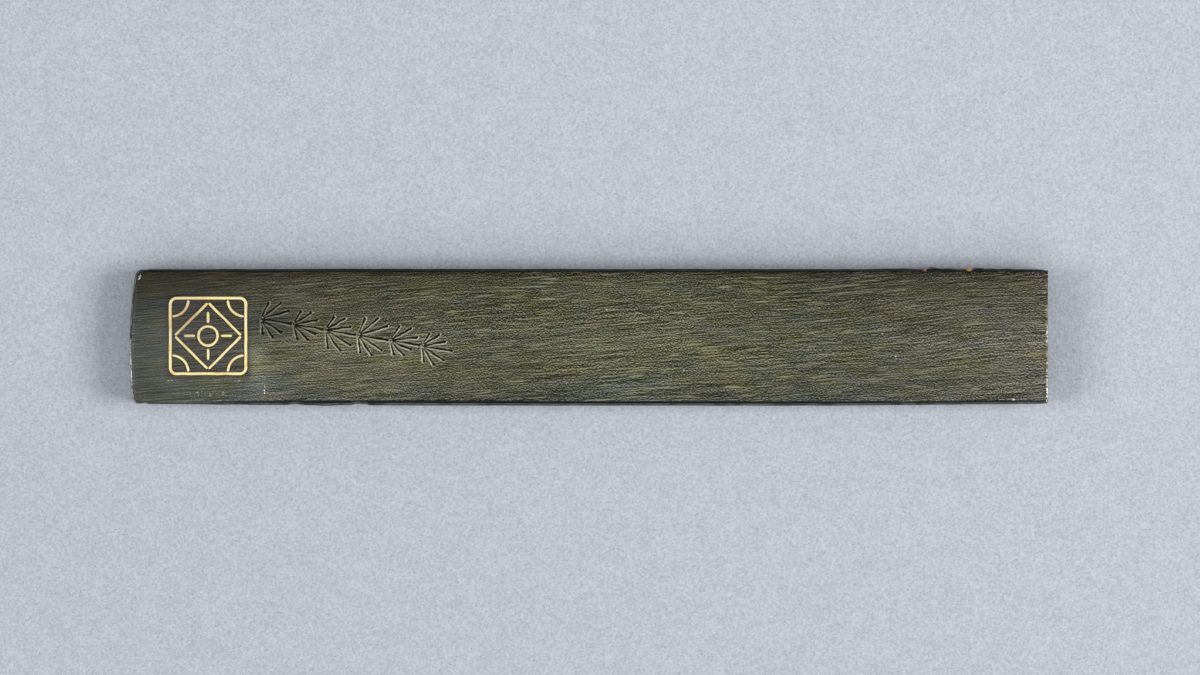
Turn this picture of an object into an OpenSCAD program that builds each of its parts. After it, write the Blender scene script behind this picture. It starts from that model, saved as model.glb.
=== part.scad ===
// Flat handle of a small utility knife, of the kozuka type. A back plate, a front plate, two side
// strips and a butt cap are soldered into a hollow case, whose mouth takes the tang of a blade.
// Gold strips are let into the back plate, beside a sprig cut with a chisel, and small reliefs
// lie on the front plate behind its rim.
// X runs along the handle towards the mouth, Y across it, and Z from the front rim (z = 0) up to
// the crown of the back plate. The origin is the centre of the front rim. Millimetres.

/* [Case] */
// Length from the crown of the butt to the mouth
handle_len = 97; // [94:0.5:100]
// Width across the two side strips
handle_w = 14.4; // [14:0.1:15.2]
// Thickness from the front rim to the crown of the back plate
handle_t = 5.2; // [4.9:0.1:6]
// Radius of the butt's curve in plan
butt_r = 52; // [32:1:60]
// Radius of the butt's two corners in plan
butt_corner_r = 0.8; // [0.3:0.05:1]
// Thickness of the side strips
strip_t = 1; // [0.9:0.05:1.2]
// Least thickness of the butt cap, at its two sides
cap_t = 1.4; // [1.2:0.1:2]
// Radius on the strips' long outer edges
strip_edge_r = 0.25; // [0.1:0.05:0.35]

/* [Plates] */
// Thickness of the back plate at its crown
back_t = 0.85; // [0.75:0.05:1]
// How much lower the back plate's long sides are than its crown
back_sag = 0.12; // [0.06:0.02:0.2]
// Radius of the back plate's shoulders
back_shoulder_r = 0.45; // [0.2:0.05:0.55]
// Ledge between the back plate and the upper strip's outer face
ledge_upper = 0.16; // [0.1:0.02:0.4]
// Ledge between the back plate and the lower strip's outer face
ledge_lower = 0.34; // [0.1:0.02:0.4]
// Ledge between the back plate and the butt cap's outer face
ledge_butt = 0.18; // [0.1:0.02:0.4]
// Thickness of the front plate
front_t = 0.7; // [0.5:0.05:0.9]
// Depth of the front plate behind the rim
front_recess = 0.45; // [0.4:0.05:0.6]

/* [Mouth] */
// Depth of the collar inside the mouth
collar_len = 5; // [3:0.5:10]
// Width of the tang's slot
slot_w = 10.8; // [9:0.1:11.4]
// Height of the tang's slot
slot_h = 2.4; // [2:0.1:2.6]
// Radius of the slot's corners
slot_corner_r = 0.5; // [0.2:0.1:0.9]
// Leg of the solder fillets inside the case
solder_leg = 0.5; // [0.3:0.05:0.6]

/* [Gold seal] */
// Place of the seal's centre along the handle
seal_x = -40.2; // [-42:0.1:-36]
// Place of the seal's centre across the handle
seal_y = 0.1; // [-1:0.1:1]
// Length of the seal along the handle
seal_w = 8.3; // [7:0.1:9]
// Height of the seal across the handle
seal_h = 8.3; // [7:0.05:9]
// Outer radius of the seal's corners
seal_corner_r = 0.85; // [0.5:0.05:1.2]
// Width of the frame's gold strip
frame_line = 0.34; // [0.3:0.02:0.5]
// Width of the inner gold strips
inner_line = 0.3; // [0.26:0.02:0.46]
// Depth of the grooves that hold the gold
groove_d = 0.3; // [0.2:0.02:0.4]
// How far the gold stands above the plate's crown
gold_proud = 0.03; // [0:0.01:0.06]

/* [Chiselled sprig] */
// Half width and depth of the V cuts
cut_r = 0.12; // [0.06:0.01:0.16]
// Number of joints along the stem
sprig_nodes = 6; // [3:1:7]
// Distance between two joints
sprig_pitch = 3.45; // [2.5:0.05:4]
// Place of the stem's root along the handle
sprig_x = -34.6; // [-35:0.1:-30]
// Place of the stem's root across the handle
sprig_y = 1.9; // [0:0.1:3]
// Slope of the stem in degrees
sprig_slope = -9.5; // [-12:0.5:0]
// Length of a full leaf
leaf_cut_len = 2.7; // [1.5:0.1:3]

/* [Front reliefs] */
// Height of the reliefs above the front plate
relief_h = 0.36; // [0.2:0.02:0.38]
// Width of the branch at its root
branch_w = 1.7; // [1:0.1:2.2]
// Radius of a gilt bud on the front
bud_r = 0.5; // [0.4:0.02:0.6]
// Radius of a gilt bud on the edge
edge_bud_r = 0.34; // [0.3:0.02:0.5]
// How far the buds on the edge stand out of the upper strip
bud_proud = 0.16; // [0.1:0.02:0.3]
// How far the chased swellings stand out of the upper strip
swell_proud = 0.12; // [0.06:0.02:0.16]
// Place along the handle of the first bud on the edge
edge_bud_x1 = 35.5; // [20:0.1:42]
// Place along the handle of the second bud on the edge
edge_bud_x2 = 40.2; // [36:0.1:44]

/* [Hidden] */
$fn = 64;
eps = 0.01;

// Heights of the case's parts
strip_h = handle_t - back_t;
front_top = front_recess + front_t;
hollow_h = strip_h - front_top;
back_edge_t = back_t - back_sag;

// Plan of the case
mouth_x = handle_len / 2;
butt_x = -handle_len / 2;
butt_centre_x = butt_x + butt_r;
half_w = handle_w / 2;
hollow_half_w = half_w - strip_t;
butt_rise = butt_r - sqrt(butt_r * butt_r - half_w * half_w);
cap_inner_x = butt_x + butt_rise + cap_t;

// The back plate's two long sides and its centre line
back_lo_y = -half_w + ledge_lower;
back_hi_y = half_w - ledge_upper;
back_mid_y = (back_lo_y + back_hi_y) / 2;
back_half_w = (back_hi_y - back_lo_y) / 2;
crown_r = (back_half_w * back_half_w + back_sag * back_sag) / (2 * back_sag);

// Places inside the seal, seen from its centre
seal_in_w = seal_w / 2 - frame_line;
seal_in_h = seal_h / 2 - frame_line;
bar_gap = 0.22;
diamond_x = seal_in_w - 0.3;
diamond_y = seal_in_h - 0.3;
ring_r = 1.15;
tick_from = 1.5;
tick_len = 0.9;
corner_arc_r = 1.75;

// Depth of the seats of the buds on the edge
edge_bud_seat = 0.5;

gold_z = handle_t - groove_d;
gold_h = groove_d + gold_proud;

// Colours, as red, green and blue
plate_colour = [0.33, 0.33, 0.26];
case_colour = [0.18, 0.18, 0.17];
gold_colour = [0.85, 0.70, 0.36];
copper_colour = [0.50, 0.27, 0.17];
solder_colour = [0.62, 0.62, 0.60];

// Points along an arc, from one angle to another
function arc(centre, r, from, to, steps) =
    [for (i = [0:steps]) let (a = from + (to - from) * i / steps)
        centre + r * [cos(a), sin(a)]];

// Outline of the case in plan, drawn in by a distance at each side and at the butt
function plan(lo, hi, butt) =
    let (
        big_r = butt_r - butt,
        r = butt_corner_r,
        hi_y = half_w - hi - r,
        lo_y = half_w - lo - r,
        hi_x = butt_centre_x - sqrt(pow(big_r - r, 2) - hi_y * hi_y),
        lo_x = butt_centre_x - sqrt(pow(big_r - r, 2) - lo_y * lo_y),
        hi_a = 180 - asin(hi_y / (big_r - r)),
        lo_a = 180 + asin(lo_y / (big_r - r))
    )
    concat(
        [[mouth_x, -half_w + lo], [mouth_x, half_w - hi]],
        arc([hi_x, hi_y], r, 90, hi_a, 5),
        arc([butt_centre_x, 0], big_r, hi_a + 1, lo_a - 1, 24),
        arc([lo_x, -lo_y], r, lo_a, 270, 5)
    );

// ---- Plates ----

// Cross section of the back plate: flat underneath, crowned on top, with rounded shoulders
function back_section() =
    let (
        shoulder_y = back_half_w - back_shoulder_r,
        shoulder_z = back_edge_t - back_shoulder_r,
        top_a = asin(shoulder_y / crown_r)
    )
    concat(
        [[-back_half_w, 0], [back_half_w, 0]],
        arc([shoulder_y, shoulder_z], back_shoulder_r, 0, 80, 5),
        arc([0, back_t - crown_r], crown_r, 90 - top_a, 90 + top_a, 16),
        arc([-shoulder_y, shoulder_z], back_shoulder_r, 100, 180, 5)
    );

// Outline of the back plate, with a chamfer round the bowed end
module back_outline() {
    chamfer = 0.3;
    hull() {
        translate([0, 0, strip_h - 1])
            linear_extrude(back_t + 1 - chamfer)
                polygon(plan(ledge_lower - eps, ledge_upper - eps, ledge_butt));
        translate([0, 0, strip_h - 1])
            linear_extrude(back_t + 1 + eps)
                polygon(plan(ledge_lower - eps, ledge_upper - eps, ledge_butt + chamfer));
    }
}

module back_plate() {
    color(plate_colour)
    difference() {
        intersection() {
            translate([butt_x, back_mid_y, strip_h])
                rotate([90, 0, 90])
                    linear_extrude(handle_len)
                        polygon(back_section());
            back_outline();
        }
        seal_grooves();
        sprig_cuts();
    }
}

module front_plate() {
    color(case_colour)
    translate([cap_inner_x, -hollow_half_w, front_recess])
        cube([mouth_x - cap_inner_x, 2 * hollow_half_w, front_t]);
}

// ---- Side strips and butt cap ----

// Cross section of the upper strip, with its inner face on the Y axis and its outer edges rounded
module strip_section() {
    r = strip_edge_r;
    square([strip_t - r, strip_h]);
    translate([0, r])
        square([strip_t, strip_h - 2 * r]);
    for (z = [r, strip_h - r])
        translate([strip_t - r, z])
            circle(r);
}

module side_strip() {
    translate([cap_inner_x, hollow_half_w, 0])
        rotate([90, 0, 90])
            linear_extrude(mouth_x - cap_inner_x)
                strip_section();
}

// Low swellings chased in the upper strip, each as its place along the handle and its length
swellings = [[33.5, 2.8], [37.8, 3.4], [42.8, 3.6]];

// The upper strip carries the swellings, and holds the two buds on the edge in round seats
module upper_side_strip() {
    color(case_colour)
    difference() {
        union() {
            side_strip();
            for (swelling = swellings)
                translate([swelling[0], half_w, 0.5])
                    linear_extrude(3.4)
                        lens_shape(swelling[1], 2 * swell_proud);
        }
        edge_bud_place(1) cylinder(h = 1, r = edge_bud_r);
        edge_bud_place(2) cylinder(h = 1, r = edge_bud_r);
    }
}

module lower_side_strip() {
    color(case_colour)
    mirror([0, 1, 0])
        side_strip();
}

// Outline of the case with its long edges chamfered above and below
module case_outline() {
    chamfer = 0.15;
    hull() {
        translate([0, 0, chamfer])
            linear_extrude(strip_h - 2 * chamfer)
                polygon(plan(0, 0, 0));
        linear_extrude(strip_h)
            polygon(plan(chamfer, chamfer, chamfer));
    }
}

module butt_cap() {
    color(case_colour)
    intersection() {
        case_outline();
        translate([butt_x - 1, -handle_w, -1])
            cube([cap_inner_x - butt_x + 1, 2 * handle_w, strip_h + 2]);
    }
}

// ---- Mouth ----

// The slot in the collar that the tang slides into, with rounded corners
module slot_shape() {
    w = slot_w / 2 - slot_corner_r;
    h = slot_h / 2 - slot_corner_r;
    square([2 * w, slot_h], center = true);
    square([slot_w, 2 * h], center = true);
    for (sx = [-1, 1], sy = [-1, 1])
        translate([sx * w, sy * h])
            circle(slot_corner_r);
}

module mouth_collar() {
    color(case_colour)
    translate([mouth_x - collar_len, 0, front_top + hollow_h / 2])
        rotate([90, 0, 90])
            linear_extrude(collar_len)
                difference() {
                    square([2 * hollow_half_w, hollow_h], center = true);
                    slot_shape();
                }
}

// ---- Solder ----

// Three fillets round the inside of the case, where one plate meets the strips and the cap
module solder_run() {
    leg = solder_leg;
    run = mouth_x - collar_len - cap_inner_x;
    for (s = [-1, 1])
        translate([cap_inner_x, 0, 0])
            rotate([90, 0, 90])
                linear_extrude(run)
                    polygon([
                        [s * hollow_half_w, 0], [s * (hollow_half_w - leg), 0],
                        [s * hollow_half_w, leg]
                    ]);
    translate([cap_inner_x, hollow_half_w, 0])
        rotate([90, 0, 0])
            linear_extrude(2 * hollow_half_w)
                polygon([[0, 0], [leg, 0], [0, leg]]);
}

module front_seam_solder() {
    color(solder_colour)
    translate([0, 0, front_top])
        solder_run();
}

module back_seam_solder() {
    color(solder_colour)
    translate([0, 0, strip_h])
        mirror([0, 0, 1])
            solder_run();
}

// ---- Gold seal: flat outlines, then the strips cut from them ----

module rounded_rectangle(w, h, r) {
    square([w - 2 * r, h], center = true);
    square([w, h - 2 * r], center = true);
    for (sx = [-1, 1], sy = [-1, 1])
        translate([sx * (w / 2 - r), sy * (h / 2 - r)])
            circle(r);
}

module frame_shape() {
    difference() {
        rounded_rectangle(seal_w, seal_h, seal_corner_r);
        rounded_rectangle(seal_w - 2 * frame_line, seal_h - 2 * frame_line,
            seal_corner_r - frame_line);
    }
}

module ring_shape() {
    difference() {
        circle(ring_r);
        circle(ring_r - inner_line);
    }
}

// A straight strip with round ends, from the origin along +X
module strip_shape(length) {
    r = inner_line / 2;
    translate([0, -r])
        square([length, inner_line]);
    circle(r);
    translate([length, 0])
        circle(r);
}

// One side of the diamond, in quadrant 1 to 4
module bar_shape(quadrant) {
    side = sqrt(diamond_x * diamond_x + diamond_y * diamond_y);
    slant = atan2(diamond_y, diamond_x);
    flip = [[0, 0], [1, 0], [1, 1], [0, 1]][quadrant - 1];
    mirror([flip[0], 0])
        mirror([0, flip[1]])
            translate([diamond_x, 0])
                rotate(180 - slant)
                    translate([bar_gap, 0])
                        strip_shape(side - 2 * bar_gap);
}

// A quarter ring round one inner corner of the frame, in quadrant 1 to 4
module corner_shape(quadrant) {
    gap = 0.05;
    flip = [[0, 0], [1, 0], [1, 1], [0, 1]][quadrant - 1];
    mirror([flip[0], 0])
        mirror([0, flip[1]])
            intersection() {
                translate([seal_in_w, seal_in_h])
                    difference() {
                        circle(corner_arc_r + inner_line / 2);
                        circle(corner_arc_r - inner_line / 2);
                    }
                square([seal_in_w - gap, seal_in_h - gap]);
            }
}

// A short strip from the ring towards one corner of the diamond, in quarter turns 1 to 4
module tick_shape(quarter) {
    rotate(90 * (quarter - 1))
        translate([tick_from, 0])
            strip_shape(tick_len);
}

module gold(lift, height) {
    translate([seal_x, seal_y, gold_z + lift])
        linear_extrude(height)
            children();
}

module seal_grooves() {
    gold(0, groove_d + 1) frame_shape();
    gold(0, groove_d + 1) ring_shape();
    for (i = [1:4]) {
        gold(0, groove_d + 1) bar_shape(i);
        gold(0, groove_d + 1) corner_shape(i);
        gold(0, groove_d + 1) tick_shape(i);
    }
}

module seal_frame() {
    color(gold_colour) gold(0, gold_h) frame_shape();
}

module seal_ring() {
    color(gold_colour) gold(0, gold_h) ring_shape();
}

module seal_bar(i) {
    color(gold_colour) gold(0, gold_h) bar_shape(i);
}

module seal_corner(i) {
    color(gold_colour) gold(0, gold_h) corner_shape(i);
}

module seal_tick(i) {
    color(gold_colour) gold(0, gold_h) tick_shape(i);
}

// ---- Chiselled sprig ----

// One V cut in the plane of the crown, from the origin along +X
module v_cut(length) {
    rotate([0, 90, 0])
        cylinder(h = length, r = cut_r, $fn = 4);
}

// A stem of short cuts, with a fan of leaves on each side of every joint. The fans swing and
// change their size from joint to joint, as a hand would draw them.
module sprig_cuts() {
    stem_gap = 0.3;
    leans = [20, 43, 70];
    sizes = [1, 0.86, 0.56];
    translate([sprig_x, sprig_y, handle_t - 0.02])
        rotate(sprig_slope)
            for (i = [0:sprig_nodes - 1])
                translate([i * sprig_pitch, 0, 0]) {
                    v_cut(sprig_pitch - stem_gap);
                    for (side = [-1, 1], k = [0:2])
                        rotate(side * leans[k] + leaf_swing(i, side))
                            translate([stem_gap, 0, 0])
                                v_cut(leaf_cut_len * sizes[k] * leaf_size(i, side));
                }
}

function leaf_swing(i, side) = 6 * sin(131 * i + 57 * side);
function leaf_size(i, side) = 0.92 + 0.14 * sin(97 * i + 140 * side);

// ---- Front reliefs ----

// Place of the branch's centre line at t from 0 (root, near the mouth) to 1 (tip)
function branch_at(t) = [44 - 70 * t, 3.4 * cos(150 * t) - 0.6 + 1.1 * sin(420 * t)];
function branch_half(t) = branch_w / 2 * (1 - 0.72 * t);
function branch_side(t, s) =
    let (
        step = branch_at(t + 0.01) - branch_at(t - 0.01),
        along = step / norm(step)
    )
    branch_at(t) + s * branch_half(t) * [-along[1], along[0]];

// A lens from two arcs, centred on the origin and pointing along X
module lens_shape(length, width) {
    r = (length * length + width * width) / (4 * width);
    intersection() {
        translate([0, r - width / 2]) circle(r, $fn = 128);
        translate([0, width / 2 - r]) circle(r, $fn = 128);
    }
}

// Stands a flat outline on the front plate's outer face
module relief(height) {
    translate([0, 0, front_recess - height])
        linear_extrude(height)
            children();
}

module relief_branch() {
    steps = 28;
    color(case_colour)
    relief(relief_h)
        polygon(concat(
            [for (i = [0:steps]) branch_side(i / steps, 1)],
            [for (i = [steps:-1:0]) branch_side(i / steps, -1)]
        ));
}

// Leaves stand beside the branch, each at its place t, on the side s, turned by its own angle
leaves = [[0.16, -1, 205], [0.34, 1, 150], [0.50, -1, 215], [0.68, 1, 140], [0.88, -1, 195]];
leaf_len = 5.2;
leaf_w = 1.9;

module copper_leaf(i) {
    t = leaves[i - 1][0];
    s = leaves[i - 1][1];
    away = branch_half(t) + leaf_w / 2 + 0.75;
    color(copper_colour)
    relief(relief_h - 0.06)
        translate(branch_at(t) + [0, s * away])
            rotate(leaves[i - 1][2])
                lens_shape(leaf_len, leaf_w);
}

buds = [[0.25, 1], [0.60, -1]];

// A bud on the front is a bead with its back cut flat
module gilt_bud(i) {
    t = buds[i - 1][0];
    s = buds[i - 1][1];
    place = branch_at(t) + [0, s * (branch_half(t) + bud_r + 0.25)];
    color(gold_colour)
    intersection() {
        translate([place[0], place[1], front_recess + 0.14])
            sphere(bud_r);
        translate([place[0] - 1, place[1] - 1, front_recess - 1])
            cube([2, 2, 1]);
    }
}

// Lays a shape that stands on z = 0 in the seat of the first or second bud on the edge
module edge_bud_place(i) {
    seat_z = 3.65;
    translate([i == 1 ? edge_bud_x1 : edge_bud_x2, half_w - edge_bud_seat, seat_z])
        rotate([-90, 0, 0])
            children();
}

// A bud on the edge is a plug with a domed head
module edge_bud(i) {
    dome_r = (edge_bud_r * edge_bud_r + bud_proud * bud_proud) / (2 * bud_proud);
    color(gold_colour)
    edge_bud_place(i)
        rotate_extrude()
            polygon(concat(
                [[0, 0], [edge_bud_r, 0]],
                arc([0, edge_bud_seat + bud_proud - dome_r], dome_r,
                    acos(edge_bud_r / dome_r), 90, 5)
            ));
}

// ---- Nodes ----

back_plate();
front_plate();
upper_side_strip();
lower_side_strip();
butt_cap();
mouth_collar();
back_seam_solder();
front_seam_solder();
seal_frame();
seal_ring();
for (i = [1:4]) {
    seal_bar(i);
    seal_corner(i);
    seal_tick(i);
}
relief_branch();
for (i = [1:5])
    copper_leaf(i);
for (i = [1:2]) {
    gilt_bud(i);
    edge_bud(i);
}
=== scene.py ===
"""Looks for the flat metal handle of a small utility knife, lying front down.

Lengths are in millimetres until a mesh is made. X runs towards the mouth, Y across the handle and Z
out of the back plate.
"""

import math

import bpy
import numpy as np
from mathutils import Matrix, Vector


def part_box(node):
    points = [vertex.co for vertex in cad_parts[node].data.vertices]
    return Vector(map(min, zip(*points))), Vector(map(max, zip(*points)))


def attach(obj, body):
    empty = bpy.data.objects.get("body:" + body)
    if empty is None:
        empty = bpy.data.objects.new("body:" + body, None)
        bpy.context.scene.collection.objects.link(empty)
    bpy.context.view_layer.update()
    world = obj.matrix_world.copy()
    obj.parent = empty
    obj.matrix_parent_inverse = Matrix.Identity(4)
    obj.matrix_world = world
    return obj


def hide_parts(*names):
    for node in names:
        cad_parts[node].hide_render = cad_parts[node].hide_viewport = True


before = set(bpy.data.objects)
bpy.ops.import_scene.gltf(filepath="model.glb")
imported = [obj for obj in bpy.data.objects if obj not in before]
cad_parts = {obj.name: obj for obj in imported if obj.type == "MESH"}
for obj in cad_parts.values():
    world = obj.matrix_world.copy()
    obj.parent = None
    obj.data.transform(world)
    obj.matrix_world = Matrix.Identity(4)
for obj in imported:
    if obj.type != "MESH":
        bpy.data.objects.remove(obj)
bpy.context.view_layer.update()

MM = 0.001
BODY = "root"

# ----- sizes, the same as the CAD model's

mouth_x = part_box("upper_side_strip")[1].x / MM
butt_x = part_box("butt_cap")[0].x / MM
cap_inner_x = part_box("butt_cap")[1].x / MM
strip_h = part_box("lower_side_strip")[1].z / MM
hollow_half_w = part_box("mouth_collar")[1].y / MM
top_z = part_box("back_plate")[1].z / MM
butt_r = 52.0
crown_sag = 0.12
butt_lean = 0.024
# Half widths at the butt, on the lower and on the upper side
plate_half_lo, plate_half_hi = 6.97, 7.0
cap_half_lo, cap_half_hi = 7.06, 7.12
seal_lo, seal_hi = (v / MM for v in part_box("seal_frame"))
seal_x, seal_y = (seal_lo.x + seal_hi.x) / 2, (seal_lo.y + seal_hi.y) / 2
seal_w, seal_h = seal_hi.x - seal_lo.x, seal_hi.y - seal_lo.y
# The gold is a little narrower than the CAD model's, so that the painted shadow of the groove's lip shows
# beside it
frame_line, inner_line = 0.32, 0.28
# Rise of the file marks for each millimetre towards the mouth
file_slope = 0.072

# ----- smooth random numbers


class Lattice:
    """Smooth random values between -1 and 1 in the plane, with cells of a given size."""

    def __init__(self, seed, cell_x, cell_y):
        self.table = np.random.default_rng(seed).uniform(-1, 1, (512, 512))
        self.cell = (cell_x, cell_y)

    def __call__(self, x, y):
        u = np.asarray(x, float) / self.cell[0] + 100.0
        v = np.asarray(y, float) / self.cell[1] + 100.0
        i, j = np.floor(u).astype(int), np.floor(v).astype(int)
        f, g = u - i, v - j
        f, g = f * f * (3 - 2 * f), g * g * (3 - 2 * g)
        t = self.table
        a, b = t[i % 512, j % 512], t[(i + 1) % 512, j % 512]
        c, d = t[i % 512, (j + 1) % 512], t[(i + 1) % 512, (j + 1) % 512]
        return (a * (1 - f) + b * f) * (1 - g) + (c * (1 - f) + d * f) * g


def ease(x, lo, hi):
    """From 0 at lo to 1 at hi, smoothly."""
    t = np.clip((np.asarray(x, float) - lo) / (hi - lo), 0, 1)
    return t * t * (3 - 2 * t)


def bump_at(x, centre, width):
    return np.exp(-(((np.asarray(x, float) - centre) / width) ** 2))


def spots(x, y, rows):
    """Sum of soft spots, each given as (x, y, length, width, amount)."""
    return sum(k * bump_at(x, cx, length) * bump_at(y, cy, width) for cx, cy, length, width, k in rows)


# ----- mesh tools


def add_object(name, data):
    obj = bpy.data.objects.new(name, data)
    bpy.context.scene.collection.objects.link(obj)
    return obj


def new_piece(name, verts, faces, materials, node, face_mats=None, flat=()):
    """Makes a mesh object from millimetres, stands it in for a CAD node and rides it on the body."""
    mesh = bpy.data.meshes.new(name)
    mesh.from_pydata((np.asarray(verts, float) * MM).tolist(), [], faces)
    for m in materials:
        mesh.materials.append(m)
    smooth = np.ones(len(mesh.polygons), bool)
    if len(flat):
        smooth[list(flat)] = False
    mesh.polygons.foreach_set("use_smooth", smooth)
    if face_mats is not None:
        mesh.polygons.foreach_set("material_index", np.asarray(face_mats, np.int32))
    mesh.validate()
    mesh.update()
    obj = add_object(name, mesh)
    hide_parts(node)
    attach(obj, BODY)
    return obj


def loft(rings, cyclic=False):
    """Vertices and faces through closed rings of the same length, with a flat cap at each end."""
    n = len(rings[0])
    verts = [p for ring in rings for p in ring]
    faces = []
    spans = len(rings) if cyclic else len(rings) - 1
    for k in range(spans):
        a, b = k * n, ((k + 1) % len(rings)) * n
        for i in range(n):
            j = (i + 1) % n
            faces.append((a + i, a + j, b + j, b + i))
    caps = []
    if not cyclic:
        caps = [len(faces), len(faces) + 1]
        faces.append(tuple(range(n - 1, -1, -1)))
        faces.append(tuple(range((len(rings) - 1) * n, len(rings) * n)))
    return verts, faces, caps


def closed_sheet(X, Y, Z, far_z, up):
    """Vertices and faces of a grid that faces up or down, walled in to a flat face at far_z, which is
    the last one. Also gives the number of vertices round that face."""
    verts = np.stack([X, Y, Z], -1).reshape(-1, 3)
    idx = np.arange(X.size).reshape(X.shape)
    quads = np.stack([idx[:-1, :-1], idx[1:, :-1], idx[1:, 1:], idx[:-1, 1:]], -1)
    quads = quads if up else quads[..., [0, 3, 2, 1]]
    rim = np.concatenate([idx[:, 0], idx[-1, 1:], idx[-2::-1, -1], idx[0, -2:0:-1]])
    far = verts[rim]
    far[:, 2] = far_z
    base, n = len(verts), len(rim)
    rim = rim.tolist()
    walls = [(rim[(k + 1) % n], rim[k], base + k, base + (k + 1) % n) for k in range(n)]
    walls.append(tuple(range(base + n - 1, base - 1, -1)))
    walls = walls if up else [f[::-1] for f in walls]
    return np.concatenate([verts, far]), quads.reshape(-1, 4).tolist() + walls, n


def outward(verts, faces):
    """The faces, turned over if they close round a negative volume."""
    v = np.asarray(verts, float)
    fans = ((f[0], f[k], f[k + 1]) for f in faces for k in range(1, len(f) - 1))
    volume = sum(np.dot(v[a], np.cross(v[b], v[c])) for a, b, c in fans)
    return faces if volume > 0 else [tuple(reversed(f)) for f in faces]


def path_normals(path, cyclic=False):
    """Unit vectors square to a path in the plane, at each of its points."""
    if cyclic:
        along = np.roll(path, -1, 0) - np.roll(path, 1, 0)
    else:
        along = np.gradient(path, axis=0)
    along /= np.linalg.norm(along, axis=1)[:, None]
    return np.stack([-along[:, 1], along[:, 0]], 1)


def vertex_value(obj, name, values):
    layer = obj.data.attributes.new(name, "FLOAT", "POINT")
    layer.data.foreach_set("value", np.asarray(values, np.float32))


# ----- node materials


class Shader:
    """A small wrapper for building a material's node tree."""

    def __init__(self, name):
        self.mat = bpy.data.materials.new(name)
        self.mat.use_nodes = True
        self.tree = self.mat.node_tree
        self.tree.nodes.clear()
        out = self.tree.nodes.new("ShaderNodeOutputMaterial")
        self.bsdf = self.tree.nodes.new("ShaderNodeBsdfPrincipled")
        self.tree.links.new(self.bsdf.outputs[0], out.inputs[0])

    def put(self, socket, value):
        if isinstance(value, bpy.types.NodeSocket):
            self.tree.links.new(value, socket)
        elif isinstance(value, (tuple, list)) and len(value) == 3 and len(socket.default_value) == 4:
            socket.default_value = (*value, 1.0)
        else:
            socket.default_value = value

    def node(self, kind, out=0, props=None, **inputs):
        """Adds a shader node and gives one of its outputs. An input is set by its name or as i0, i1 ..."""
        n = self.tree.nodes.new("ShaderNode" + kind)
        for k, v in (props or {}).items():
            setattr(n, k, v)
        for k, v in inputs.items():
            key = int(k[1:]) if k[0] == "i" and k[1:].isdigit() else k
            self.put(n.inputs[key], v)
        return n.outputs[out]

    def math(self, op, a, b=0.0, c=0.0, clamp=False):
        return self.node("Math", props={"operation": op, "use_clamp": clamp}, i0=a, i1=b, i2=c)

    def times(self, a, b, clamp=False):
        return self.math("MULTIPLY", a, b, clamp=clamp)

    def place(self):
        """Object coordinates in millimetres."""
        obj = self.node("TexCoord", out=3)
        return self.node("VectorMath", props={"operation": "SCALE"}, i0=obj, i3=1 / MM)

    def split(self, vector):
        n = self.tree.nodes.new("ShaderNodeSeparateXYZ")
        self.tree.links.new(vector, n.inputs[0])
        return n.outputs

    def join(self, x, y, z):
        return self.node("CombineXYZ", i0=x, i1=y, i2=z)

    def noise(self, vector, cell, detail=2.0, rough=0.55, shift=0.0):
        """Noise whose features are about cell = (x, y, z) millimetres across, from 0 to 1."""
        place, scale = (shift, shift * 1.7, shift * 0.6), tuple(1.0 / c for c in cell)
        v = self.node("Mapping", i0=vector, i1=place, i3=scale)
        return self.node("TexNoise", Vector=v, Scale=1.0, Detail=detail, Roughness=rough)

    def ramp(self, value, stops):
        """Piecewise linear map of value to colours or greys: stops are (position, colour)."""
        n = self.tree.nodes.new("ShaderNodeValToRGB")
        els = n.color_ramp.elements
        while len(els) < len(stops):
            els.new(0.5)
        for e, (pos, col) in zip(els, stops):
            e.position = pos
            e.color = (*col, 1.0) if isinstance(col, tuple) else (col, col, col, 1.0)
        self.tree.links.new(value, n.inputs[0])
        return n.outputs[0]

    def range(self, value, lo, hi, to_lo=0.0, to_hi=1.0, smooth=False):
        kind = "SMOOTHSTEP" if smooth else "LINEAR"
        return self.node(
            "MapRange", props={"interpolation_type": kind, "clamp": True},
            i0=value, i1=lo, i2=hi, i3=to_lo, i4=to_hi,
        )

    def mix(self, factor, a, b, mode="MIX"):
        n = self.tree.nodes.new("ShaderNodeMix")
        n.data_type = "RGBA"
        n.blend_type = mode
        self.put(n.inputs[0], factor)
        self.put(n.inputs[6], a)
        self.put(n.inputs[7], b)
        return n.outputs[2]

    def tint(self, factor, colour, by):
        """The colour, multiplied by another as far as factor says."""
        return self.mix(factor, colour, self.mix(1.0, colour, by, mode="MULTIPLY"))

    def shade(self, colour, tone):
        return self.mix(1.0, colour, self.join(tone, tone, tone), mode="MULTIPLY")

    def attribute(self, name):
        return self.node("Attribute", out=2, props={"attribute_name": name})

    def bump(self, height, depth_mm, strength):
        return self.node("Bump", Strength=strength, Distance=depth_mm * MM, Height=height)

    def set(self, **inputs):
        for k, v in inputs.items():
            self.put(self.bsdf.inputs[k.replace("_", " ")], v)
        return self.mat


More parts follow.
